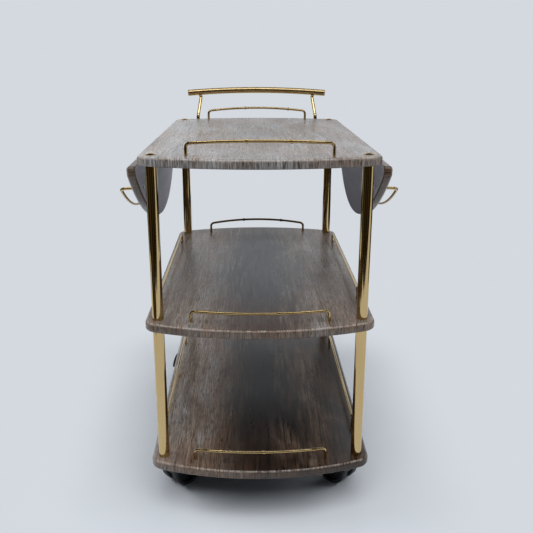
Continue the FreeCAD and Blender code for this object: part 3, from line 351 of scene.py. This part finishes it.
def studio_cloth():
    """Dark wool cloth, flat, glowing with the painted light and shade of deep folds: long streaks in the
    polished tubes.
    """
    painted_fold_width = 350 * MM
    painted_fold_length = 5000 * MM
    material, tree, output = new_material("dark_studio_cloth")
    place = add(tree, "TexCoord")
    folds = add(tree, "Mapping", {0: place.outputs["Object"],
                                  "Scale": (1 / painted_fold_width, 1 / painted_fold_width, 1 / painted_fold_length)})
    waves = add(tree, "TexNoise", {"Vector": folds.outputs[0], "Scale": 1, "Detail": 3})
    share = add(tree, "MapRange", {"Value": waves.outputs["Fac"], "From Min": 0.48, "From Max": 0.75})
    tint = add(tree, "Mix", {0: share.outputs[0], MIX_A: linear("#0C0B08"), MIX_B: linear("#5E533E")},
               data_type="RGBA")
    # The cloth glows at these tones rather than being lit: painted light and shade of its folds.
    cloth = add(tree, "Emission", {"Color": tint.outputs[MIX_COLOUR], "Strength": 1})
    tree.links.new(cloth.outputs[0], output.inputs["Surface"])
    return material


def lamp_diffuser():
    """Opal acrylic, extruded in ribs, over a strip lamp: thin bright lines along the handle and rails."""
    rib_size = 60 * MM
    material, tree, output = new_material("strip_lamp_diffuser")
    place = add(tree, "TexCoord")
    ribs = add(tree, "TexWave", {"Vector": place.outputs["Object"], "Scale": 1 / rib_size})
    tint = add(tree, "Mix", {0: ribs.outputs["Fac"], MIX_A: linear("#FFFFFF"), MIX_B: linear("#F2F4F8")},
               data_type="RGBA")
    glow = add(tree, "Emission", {"Color": tint.outputs[MIX_COLOUR], "Strength": 4.5})
    tree.links.new(glow.outputs[0], output.inputs["Surface"])
    return material


def flat_piece(name, corners, material):
    """A single flat face for the stage."""
    mesh = bpy.data.meshes.new(name)
    mesh.from_pydata(corners, [], [range(len(corners))])
    mesh.materials.append(material)
    piece = bpy.data.objects.new(name, mesh)
    scene.collection.objects.link(piece)
    return piece


def floor_rim():
    """The corners of the round floor."""
    turns = [math.tau * step / FLOOR_SIDES for step in range(FLOOR_SIDES)]
    return [(FLOOR_RADIUS * math.cos(turn), FLOOR_RADIUS * math.sin(turn), 0.0) for turn in turns]


def hung(start, end, low, high, lean=0.0):
    """The corners of a cloth hung between two spots of the floor plan, its top shifted by lean along Y."""
    return [(*start, low), (*end, low), (end[0], end[1] + lean, high), (start[0], start[1] + lean, high)]


def overhead(half_width, front, back, height):
    """The corners of a level sheet or lamp above the trolley."""
    return [(-half_width, front, height), (half_width, front, height),
            (half_width, back, height), (-half_width, back, height)]


# A dim room round the trolley, seen only as the trolley mirrors it, as a metal object is flagged in a studio.
# HEM is how far the cloths that reach down stay clear of the floor.
HEM = 10 * MM
FLAGS = {
    "front_flag": hung((-3.0, -1.75), (3.0, -1.75), HEM, 2.6, lean=-0.45),
    "left_flag": hung((-2.1, -1.75), (-2.1, 0.2), HEM, 2.6),
    "front_left_flag": hung((-0.5, -1.5), (-1.35, -0.4), HEM, 0.75),
    "rear_left_flag": hung((-1.0, 0.0), (-1.0, 1.3), 0.22, 1.2),
    "rear_low_flag": hung((-0.8, 0.65), (0.8, 0.65), 0.34, 0.46),
    "rear_right_flag": hung((1.0, -0.3), (1.0, 1.3), 0.22, 1.2),
    "overhead_flag": overhead(2.5, -1.9, 2.6, 3.05),
}
STRIPS = {
    "front_strip_lamp": overhead(1.5, -0.95, -0.45, 3.0),
    "rear_strip_lamp": overhead(1.5, 0.35, 0.55, 3.0),
}

flat_piece("floor", floor_rim(), floor_paper())
for outlines, finish in ((FLAGS, studio_cloth()), (STRIPS, lamp_diffuser())):
    for name, corners in outlines.items():
        mirrored_only = flat_piece(name, corners, finish)
        mirrored_only.visible_camera = False
        mirrored_only.visible_diffuse = False
        mirrored_only.visible_shadow = False


# Light: a broad soft box in front and above, weak ones at the sides and behind, and the pale room all round

AMBIENT = 0.07


def soft_box(name, place, target, size, watts):
    """A soft box that lights the trolley and isn't mirrored in it."""
    data = bpy.data.lights.new(name, "AREA")
    data.shape = "RECTANGLE"
    data.size, data.size_y = size
    data.energy = watts
    lamp = bpy.data.objects.new(name, data)
    lamp.location = place
    lamp.rotation_euler = (Vector(target) - Vector(place)).to_track_quat("-Z", "Y").to_euler()
    lamp.visible_glossy = False
    scene.collection.objects.link(lamp)


def pale_studio():
    """The room all round: the plain backdrop where it is seen or mirrored, and a dim light elsewhere."""
    world = bpy.data.worlds.new("pale_studio")
    world.use_nodes = True
    tree = world.node_tree
    tree.nodes.clear()
    shown = add(tree, "Background", {"Color": linear(BACKDROP), "Strength": 1})
    ambient = add(tree, "Background", {"Color": linear("#DDE4EE"), "Strength": AMBIENT})
    sky = add(tree, "MixShader", {0: seen_directly(tree).outputs[0], 1: ambient.outputs[0],
                                  2: shown.outputs[0]})
    add(tree, "OutputWorld", {"Surface": sky.outputs[0]})
    return world


soft_box("front_soft_box", place=(0.1, -1.45, 2.55), target=(0, -0.1, 0.4), size=(2.4, 2.2), watts=50)
soft_box("left_soft_box", place=(-1.5, 0.0, 1.2), target=(0, 0, 0.4), size=(1.0, 0.8), watts=15)
soft_box("right_soft_box", place=(2.0, -0.3, 1.5), target=(0, 0, 0.5), size=(1.2, 1.0), watts=14)
soft_box("rear_right_soft_box", place=(1.5, 1.4, 0.9), target=(0, 0.1, 0.6), size=(1.0, 0.8), watts=10)
soft_box("rear_soft_box", place=(0.2, 2.3, 2.2), target=(0, 0.2, 0.4), size=(1.6, 1.2), watts=18)
scene.world = pale_studio()


# Camera: fitted to the photograph's posts and boards, with its angles in radians

FOCAL_PIXELS = 697.8
FRAME_PIXELS = 533
CAMERA_PLACE = (-16.5 * MM, -1643.65 * MM, 916.1 * MM)
YAW, PITCH, ROLL = -0.0223, -0.2981, -0.0018
lens = bpy.data.cameras.new("camera")
lens.sensor_width = 36
lens.lens = FOCAL_PIXELS / FRAME_PIXELS * lens.sensor_width
camera = bpy.data.objects.new("camera", lens)
level = Matrix.Rotation(math.pi / 2, 4, "X")
aim = Matrix.Rotation(YAW, 4, "Z") @ Matrix.Rotation(PITCH, 4, "X") @ Matrix.Rotation(ROLL, 4, "Y") @ level
camera.matrix_world = Matrix.Translation(CAMERA_PLACE) @ aim
scene.collection.objects.link(camera)
scene.camera = camera
scene.view_settings.view_transform = "Standard"
